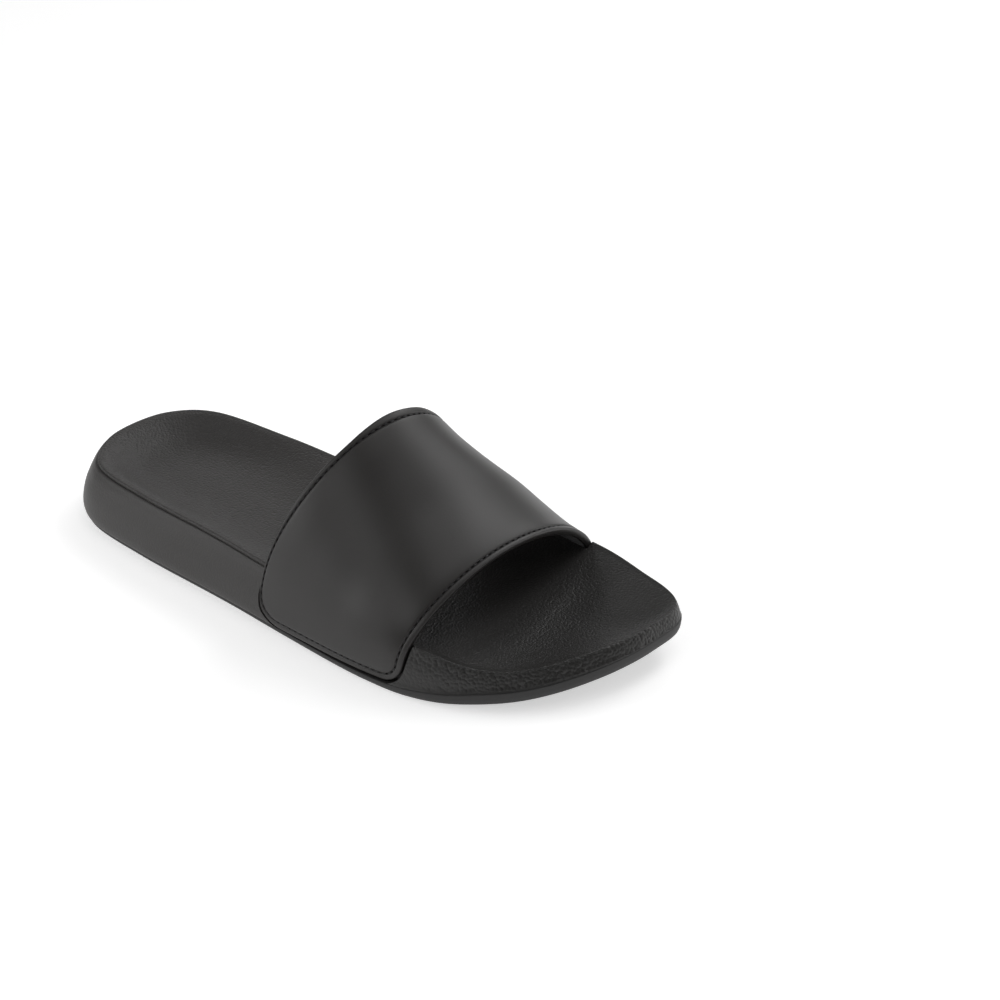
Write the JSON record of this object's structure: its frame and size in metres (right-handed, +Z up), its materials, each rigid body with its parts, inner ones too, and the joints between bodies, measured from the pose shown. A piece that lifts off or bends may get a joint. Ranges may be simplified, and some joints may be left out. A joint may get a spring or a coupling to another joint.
{
  "type": "sport slide sandal",
  "caption": "Right-foot slide sandal: one wide padded band over a moulded contoured footbed with raised rim, on a thin rubber outsole with toe spring.",
  "frame": {"origin": "bottom centre of the overall box, on the floor under the outsole", "axes": "+Z up from the floor; the toe points to -Y; +X is the inner, big-toe side of this right shoe"},
  "size_m": [0.1108, 0.2732, 0.0823],
  "materials": {
    "outsole_rubber": "matte moulded rubber",
    "footbed_foam": "matte moulded foam with a fine leather grain",
    "strap_coating": "smooth satin synthetic leather"
  },
  "bodies": {
    "root": {"outsole": "outsole_rubber", "footbed": "footbed_foam", "strap": "strap_coating"}
  },
  "joints": []
}
